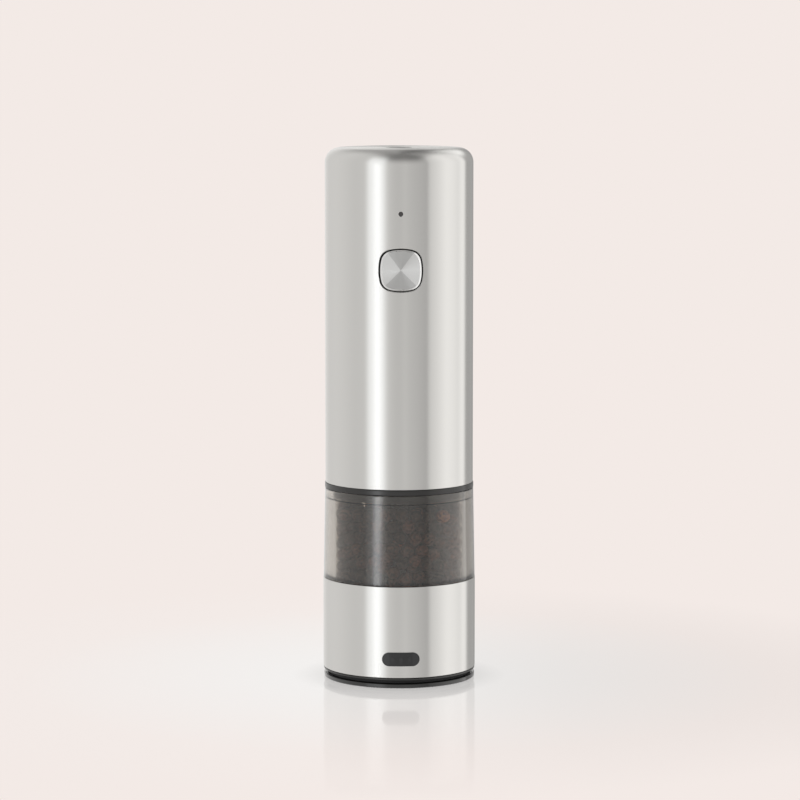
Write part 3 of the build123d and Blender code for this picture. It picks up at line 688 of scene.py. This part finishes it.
def make_sleeve(material):
    """The lower steel sleeve, whose foot stops just short of the base ring."""
    low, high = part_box("lower_sleeve")
    outer = high.x / MM
    bottom, top = low.z / MM, high.z / MM
    inner = outer - 0.6
    foot = bottom + 0.12
    corners = [(inner, top, 0.1), (inner, foot, 0.1), (outer, foot, 0.16), (outer, top, 0.18)]
    mesh, _ = lathe_mesh("sleeve", corners)
    sleeve = add_object("steel_sleeve", mesh, material, "grinder_unit")
    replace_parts(sleeve, "lower_sleeve")


def make_container(material):
    """The smoked clear container, with a narrow foot inside the sleeve and a wide mouth for the stopper."""
    low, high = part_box("container")
    bottom, top = low.z / MM, high.z / MM
    foot, widest, rim = 25.2, high.x / MM, 25.35
    shoulder, mouth, bore, step = 34.85, 22.7, 21.9, 62.0
    corners = [
        (mouth, top, 0.3), (mouth, step, 0.25), (bore, step, 0.35), (bore, bottom, 0.3),
        (foot, bottom, 0.3), (foot, shoulder, 0.1), (widest, shoulder, 0.2), (rim, top, 0.3),
    ]
    mesh, _ = lathe_mesh("container", corners, longest=3.0)
    piece = add_object("pepper_container", mesh, material, "grinder_unit")
    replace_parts(piece, "container")


def make_trim(material, glossy, matt):
    """The collar, the base ring with its matt groove and the glossier cap, all with softly rounded edges."""
    low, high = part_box("shell_collar")
    inside, outside, spigot = 23.95, high.x / MM, 24.35
    lowest, shoulder, ledge, highest = low.z / MM, 67.2, 67.42, 72.0
    corners = [
        (inside, ledge, 0.05), (inside, lowest, 0.1), (outside, lowest, 0.25), (outside, shoulder, 0.25),
        (spigot, shoulder, 0.05), (spigot, highest, 0.05), (24.18, highest, 0.05), (24.18, ledge, 0.02),
    ]
    mesh, _ = lathe_mesh("collar", corners)
    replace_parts(add_object("black_collar", mesh, material, "drive_unit"), "shell_collar")
    low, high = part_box("base_ring")
    bore, groove, seat, widest = 22.45, 24.4, 25.3, 25.9
    bottom, flange_bottom, flange_top, top = low.z / MM, 2.75, 3.45, high.z / MM
    corners = [
        (bore, top, 0.3), (bore, bottom, 0.2), (groove, bottom, 0.1), (groove, flange_bottom, 0.1),
        (widest, flange_bottom, 0.3), (widest, flange_top, 0.25), (seat, flange_top, 0.05), (seat, top, 0.3),
    ]
    mesh, _ = lathe_mesh("ring", corners)
    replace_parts(add_object("black_base_ring", mesh, material, "grinder_unit"), "base_ring")
    mesh.materials.append(matt)
    for polygon in mesh.polygons:
        if math.hypot(polygon.center.x, polygon.center.y) < (groove + 0.2) * MM:
            polygon.material_index = 1
    _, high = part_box("aroma_cap")
    plate, edge, plug_outside, plug_inside, top = 1.45, 25.8, 22.3, 21.0, high.z / MM
    corners = [
        (AXIS, plate, 0.005), (AXIS, 0.0, 0.005), (edge, 0.0, 0.42), (edge, plate, 0.28),
        (plug_outside, plate, 0.1), (plug_outside, top, 0.3), (plug_inside, top, 0.3),
        (plug_inside, plate, 0.3),
    ]
    mesh, _ = lathe_mesh("cap", corners)
    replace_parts(add_object("black_cap", mesh, glossy, "aroma_cap"), "aroma_cap")


def make_button(material, bright, dark):
    """The push button: a spun face with a bright chamfer, and black sides with a flange behind the shell; the
    black of the sides is partly painted shade for the gap round the button.
    """
    low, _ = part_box("button_cap")
    front = low.y / MM
    points, normals = squircle(6.9, 1.08, 3.93)
    # It hangs a little low and to the right in its window.
    aside, middle = 0.06, BUTTON_Z - 0.1
    rings = []
    face = points - normals * 0.62
    for share in (0.02, 0.1, 0.2, 0.3, 0.4, 0.5, 0.6, 0.7, 0.8, 0.88, 0.94):
        dish = 0.1 * (1 - share * share)
        rings.append([(aside + x * share, front + 0.06 + dish, middle + z * share) for x, z in face])
    for inset, depth in ((0.62, 0.05), (0.58, 0.0), (0.5, 0.0), (0.1, 0.3), (0.0, 0.42), (0.0, 2.3)):
        rings.append([
            (aside + x - nx * inset, front + depth, middle + z - nz * inset)
            for (x, z), (nx, nz) in zip(points, normals)
        ])
    wide, _ = squircle(8.2, 0.55, 5.0)
    for grow, y in ((0.96, -22.6), (1.0, -22.5), (1.0, -21.5), (0.98, -21.4)):
        rings.append([(aside + x * grow, y, middle + z * grow) for x, z in wide])
    mesh = loft("button", rings)
    smooth_by_angle(mesh, 20.0)
    button = add_object("spun_button", mesh, material, "power_button")
    mesh.materials.append(bright)
    mesh.materials.append(dark)
    # Partly painted shade: the sides and flange behind the chamfer are black plastic, and are dark also to
    # stand for the shade in the gap round the button.
    for polygon in mesh.polygons:
        behind_the_chamfer = polygon.center.y > (front + 0.45) * MM
        if behind_the_chamfer:
            polygon.material_index = 2
        elif abs(polygon.normal.y) < 0.95:
            polygon.material_index = 1
    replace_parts(button, "button_cap")


def make_spring(material):
    """The button's return spring, between the button and the frame: a copy of its CAD mesh that rides on the
    button.
    """
    node = frame["nodes"]["button_spring"]
    mesh = node.data.copy()
    mesh.transform(node.matrix_world)
    spring = add_object("return_spring", mesh, material, "power_button")
    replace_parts(spring, "button_spring")
    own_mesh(spring)


# --- Peppercorns ---

def corn_shapes(count, subdivisions, seed):
    """Wrinkled balls of unit radius, with how high each point stands on its ridges."""
    shapes = []
    for index in range(count):
        shape = bmesh.new()
        bmesh.ops.create_icosphere(shape, subdivisions=subdivisions, radius=1.0)
        generator = np.random.default_rng(seed + index)
        directions = generator.normal(size=(9, 3))
        directions /= np.linalg.norm(directions, axis=1)[:, None]
        phases = generator.uniform(0, 2 * math.pi, 9)
        rates = generator.uniform(4.5, 9.0, 9)
        points = np.array([v.co for v in shape.verts])
        folded = np.abs(np.sin(points @ directions.T * rates + phases))
        ridge = folded.mean(1)
        ridge = (ridge - ridge.min()) / (ridge.max() - ridge.min())
        lumps = np.sin(points @ directions[:3].T * 1.9 + phases[:3]).mean(1)
        radius = 0.9 + 0.1 * ridge + 0.035 * lumps
        faces = np.array([[v.index for v in face.verts] for face in shape.faces])
        shapes.append((points * radius[:, None], faces, ridge))
        shape.free()
    return shapes


def corn_places(count=470, seed=7):
    """A seeded heap of corns, in millimetres, let down into the container until none overlaps another."""
    generator = np.random.default_rng(seed)
    radius = generator.uniform(2.05, 2.5, count)
    wall = 21.85
    agitator_reach, agitator_top = 15.4, 39.5
    shaft = 3.1
    angle = generator.uniform(0, 2 * math.pi, count)
    outward = np.sqrt(generator.uniform(6.0 ** 2, 19.0 ** 2, count))
    spot = np.stack([outward * np.cos(angle), outward * np.sin(angle), generator.uniform(42, 86, count)], 1)
    reach = radius[:, None] + radius[None]
    for step in range(420):
        fall = 0.30 if step < 260 else 0.04
        spot[:, 2] -= fall
        for _ in range(2):
            apart = spot[:, None] - spot[None]
            distance = np.sqrt((apart ** 2).sum(2)) + np.eye(count) * 99
            overlap = np.maximum(reach - distance, 0)
            push = (apart / distance[:, :, None] * overlap[:, :, None]).sum(1)
            spot += push * 0.32
            outward = np.hypot(spot[:, 0], spot[:, 1])
            side = spot[:, :2] / np.maximum(outward, 1e-6)[:, None]
            low = spot[:, 2] < agitator_top + radius * 0.7
            nearest = np.where(low, agitator_reach, shaft) + radius
            beside = outward > agitator_reach + radius * 0.3
            nearest = np.where(low & ~beside, shaft + radius, nearest)
            held = np.clip(outward, nearest, wall - radius)
            spot[:, :2] = side * held[:, None]
            funnel = 27.7 + np.maximum(held - 11.3, 0) * 0.2736 + radius * 1.04
            floor = np.where(beside, funnel, agitator_top + radius)
            spot[:, 2] = np.maximum(spot[:, 2], floor)
    places = np.concatenate([spot, radius[:, None]], 1)
    return places[places[:, 2] + radius < 61.9]


def make_peppercorns(material):
    """The heap of corns: finer shapes where they show, in layers, and coarser ones hidden in the middle."""
    places = corn_places()
    generator = np.random.default_rng(11)
    fine = corn_shapes(7, 4, 100)
    coarse = corn_shapes(4, 3, 200)
    outward = np.hypot(places[:, 0], places[:, 1])
    seen = (outward > 16.5) | (places[:, 2] > 52.0)
    groups = {"peppercorns_inner": np.where(~seen)[0]}
    outer = np.where(seen)[0]
    outer = outer[np.argsort(places[outer, 2], kind="stable")]
    layers = 5
    for layer in range(layers):
        first, last = layer * len(outer) // layers, (layer + 1) * len(outer) // layers
        groups[f"peppercorns_{layer + 1}"] = outer[first:last]
    for name, members in groups.items():
        shapes = coarse if name.endswith("inner") else fine
        vertices, faces, ridges, tints = [], [], [], []
        start = 0
        for member in members:
            points, triangles, ridge = shapes[generator.integers(len(shapes))]
            turn, _ = np.linalg.qr(generator.normal(size=(3, 3)))
            if np.linalg.det(turn) < 0:
                turn[:, 0] = -turn[:, 0]
            x, y, z, radius = places[member]
            stretch = generator.uniform(0.93, 1.0, 3)
            vertices.append((points * stretch) @ turn.T * radius * 0.985 + (x, y, z))
            faces.append(triangles + start)
            ridges.append(ridge)
            tints.append(np.full(len(points), generator.uniform(0, 1) ** 1.5))
            start += len(points)
        mesh = bpy.data.meshes.new(name)
        mesh.from_pydata((np.concatenate(vertices) * MM).tolist(), [], np.concatenate(faces).tolist())
        for label, values in (("corn_ridge", ridges), ("corn_tint", tints)):
            attribute = mesh.attributes.new(label, "FLOAT", "POINT")
            attribute.data.foreach_set("value", np.concatenate(values).astype(np.float32))
        mesh.polygons.foreach_set("use_smooth", [True] * len(mesh.polygons))
        piece = bpy.data.objects.new(name, mesh)
        scene.collection.objects.link(piece)
        mesh.materials.append(material)
        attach(piece, "grinder_unit")


# --- Studio ---

def studio_light():
    """A pale room with a bright narrow panel at the left, a wide panel at the right and a dim ceiling.

    Azimuth 0 is in front of the mill and grows towards +X. The camera itself sees only the plain backdrop.
    """
    world = bpy.data.worlds.new("studio")
    scene.world = world
    world.use_nodes = True
    tree = Tree(world.node_tree)
    parts = tree.nodes.new("ShaderNodeSeparateXYZ")
    tree.links.new(tree.nodes.new("ShaderNodeTexCoord").outputs["Generated"], parts.inputs[0])
    across, depth, height = parts.outputs
    azimuth = tree.math("ARCTAN2", across, tree.math("MULTIPLY", depth, -1.0))
    degrees = tree.math("MULTIPLY", azimuth, 180 / math.pi)
    # Brightness of the room round the mill, by azimuth in degrees.
    brightest = 1.1
    room = [
        (-180, 0.92), (-162, 0.78), (-142, 0.70), (-120, 0.74), (-100, 0.72), (-75, 0.66), (-58, 0.67),
        (-16, 0.62), (-6, 0.56), (2, 0.56), (8, 0.61), (14, 0.56), (22, 0.53), (38, 0.50), (44, 0.40),
        (46, 0.70), (60, 0.82), (78, 1.02), (92, 0.98), (104, 0.88), (114, 1.05), (121, 1.05),
        (126, 0.42), (148, 0.42), (158, 0.40), (170, 0.32), (176, 0.6), (180, 0.92),
    ]
    ramp = tree.nodes.new("ShaderNodeValToRGB")
    tree.feed(ramp, "Fac", tree.span(degrees, -180.0, 180.0))
    stops = ramp.color_ramp.elements
    stops.remove(stops[0])
    for index, (angle, level) in enumerate(room):
        position = (angle + 180) / 360
        stop = stops[0] if index == 0 else stops.new(position)
        stop.position = position
        share = level / brightest
        stop.color = rgb(share, share * 0.99, share * 0.975)

    def between(value, low, low_full, high_full, high):
        """One inside a range, with soft edges."""
        rising = tree.span(value, low, low_full, smooth=True)
        return tree.math("MULTIPLY", rising, tree.span(value, high_full, high, 1.0, 0.0, smooth=True))

    def both(first, second):
        return tree.math("MULTIPLY", first, second)

    # The left panel is tall, and its lamp is a narrow bright strip low down.
    panel = both(between(degrees, -57.0, -47.0, -28.0, -17.0), between(height, -0.6, -0.4, 0.62, 0.9))
    lamp = both(between(degrees, -46.0, -35.5, -35.0, -24.0), between(height, -0.175, -0.155, -0.09, -0.07))
    # It is dimmer overhead, most of all in front, and behind the mill, up to the bright right-hand corner.
    overhead = both(between(across, -0.55, -0.15, 0.35, 0.65), tree.span(height, 0.36, 0.66, smooth=True))
    wall = both(between(across, -0.4, -0.1, 0.0, 0.2), between(height, 0.32, 0.55, 0.9, 1.0))
    wall = both(wall, tree.span(depth, 0.3, 0.6, smooth=True))
    corner = both(between(across, 0.15, 0.3, 0.6, 0.75), between(height, 0.3, 0.5, 0.75, 0.9))
    corner = both(corner, tree.span(depth, 0.4, 0.6, smooth=True))
    overhead = both(overhead, tree.span(depth, -0.35, 0.3, 0.68, 0.52))
    dimness = tree.math("MAXIMUM", overhead, tree.math("MULTIPLY", wall, 0.4))
    apron = both(between(degrees, -45.0, -15.0, 22.0, 44.0), tree.span(height, 0.05, -0.3, smooth=True))

    def lit_by(colour, amount):
        node = tree.add("ShaderNodeVectorMath", {"operation": "SCALE"})
        tree.feed(node, "0", colour)
        tree.feed(node, "Scale", amount)
        return node.outputs[0]

    layers = [
        lit_by(ramp.outputs["Color"], tree.math("MULTIPLY_ADD", dimness, -brightest, brightest)),
        lit_by((0.95, 0.99, 1.02), tree.math("MULTIPLY", panel, 0.48)),
        lit_by((0.96, 0.99, 1.02), tree.math("MULTIPLY", lamp, 2.2)),
        lit_by((1.0, 1.0, 0.99), tree.math("MULTIPLY", corner, 0.8)),
        lit_by((1.0, 0.99, 0.97), tree.math("MULTIPLY", apron, 0.13)),
    ]
    total = layers[0]
    for layer in layers[1:]:
        node = tree.add("ShaderNodeVectorMath", {"operation": "ADD"})
        tree.links.new(total, node.inputs[0])
        tree.links.new(layer, node.inputs[1])
        total = node.outputs[0]
    lit = tree.add("ShaderNodeBackground", Strength=1.0, Color=total)
    plain = tree.add("ShaderNodeBackground", Color=rgb(*BACKDROP), Strength=1.0)
    path = tree.nodes.new("ShaderNodeLightPath")
    choose = tree.nodes.new("ShaderNodeMixShader")
    tree.links.new(path.outputs["Is Camera Ray"], choose.inputs[0])
    tree.links.new(lit.outputs[0], choose.inputs[1])
    tree.links.new(plain.outputs[0], choose.inputs[2])
    output = tree.nodes.new("ShaderNodeOutputWorld")
    tree.links.new(choose.outputs[0], output.inputs["Surface"])


def make_floor():
    """A pale glossy table top, clear over the backdrop, so that a lid pulled down through it still shows.
    Round the mill it carries a painted contact shadow and a cooler painted reflection tint.
    """
    shape = bmesh.new()
    bmesh.ops.create_circle(shape, cap_ends=True, segments=128, radius=0.36)
    mesh = bpy.data.meshes.new("floor")
    shape.to_mesh(mesh)
    shape.free()
    floor = bpy.data.objects.new("floor", mesh)
    floor.location.z = -0.00002
    scene.collection.objects.link(floor)
    material = bpy.data.materials.new("table_top")
    material.use_nodes = True
    tree = Tree(material.node_tree)
    where = place(tree)
    distance = tree.add("ShaderNodeVectorMath", {"operation": "LENGTH"})
    tree.links.new(where, distance.inputs[0])
    far = distance.outputs["Value"]
    # Painted shadow: the table's colour is darkened by ambient occlusion where the mill's foot stands close.
    painted_contact_shadow = tree.add("ShaderNodeAmbientOcclusion", {"samples": 8}, Distance=0.012)
    darkening = tree.span(painted_contact_shadow.outputs["AO"], 0.0, 1.0, 0.62, 1.0)
    # Painted reflection: close round the mill the table is tinted cooler and whiter, where the mill's
    # reflection lies.
    tint = tree.mix(tree.span(far, 0.03, 0.13), rgb(0.985, 1.05, 1.075), rgb(1.0, 1.0, 1.0))
    shaded = tree.add("ShaderNodeVectorMath", {"operation": "SCALE"})
    tree.feed(shaded, "0", tint)
    tree.feed(shaded, "Scale", darkening)
    plain = tree.add("ShaderNodeBsdfTransparent", Color=shaded.outputs[0])
    gloss = tree.add("ShaderNodeBsdfGlossy", Color=rgb(1, 1, 1), Roughness=0.08)
    shine = tree.nodes.new("ShaderNodeMixShader")
    tree.feed(shine, "0", tree.span(far, 0.026, 0.19, 0.33, 0.0))
    tree.links.new(plain.outputs[0], shine.inputs[1])
    tree.links.new(gloss.outputs[0], shine.inputs[2])
    # Only the camera sees the table, and only from above, so that the room lights the mill from all round.
    clear = tree.nodes.new("ShaderNodeBsdfTransparent")
    fade = tree.nodes.new("ShaderNodeMixShader")
    unseen = tree.math("SUBTRACT", 1.0, tree.nodes.new("ShaderNodeLightPath").outputs["Is Camera Ray"])
    unseen = tree.math("MAXIMUM", unseen, tree.nodes.new("ShaderNodeNewGeometry").outputs["Backfacing"])
    tree.feed(fade, "0", tree.math("MAXIMUM", tree.span(far, 0.27, 0.355, smooth=True), unseen))
    tree.links.new(shine.outputs[0], fade.inputs[1])
    tree.links.new(clear.outputs[0], fade.inputs[2])
    output = tree.nodes.new("ShaderNodeOutputMaterial")
    tree.links.new(fade.outputs[0], output.inputs["Surface"])
    mesh.materials.append(material)


made = dress_cad_nodes()
make_camera()
studio_light()
make_floor()
make_shell(made["shell_steel"], made["seal_rubber"])
make_sleeve(made["sleeve_steel"])
make_container(made["smoked_clear"])
gloss_black = moulded("gloss_black", (0.012, 0.011, 0.011), 0.14, 2200.0, 0.03, coat=0.8)
make_trim(made["trim_black"], gloss_black, made["seal_rubber"])
bright = plain_metal("bright_chamfer", (0.95, 0.95, 0.94), 0.3)
make_button(made["button_metal"], bright, made["frame_plastic"])
make_spring(made["screw_steel"])
make_peppercorns(peppercorn("pepper_skin"))
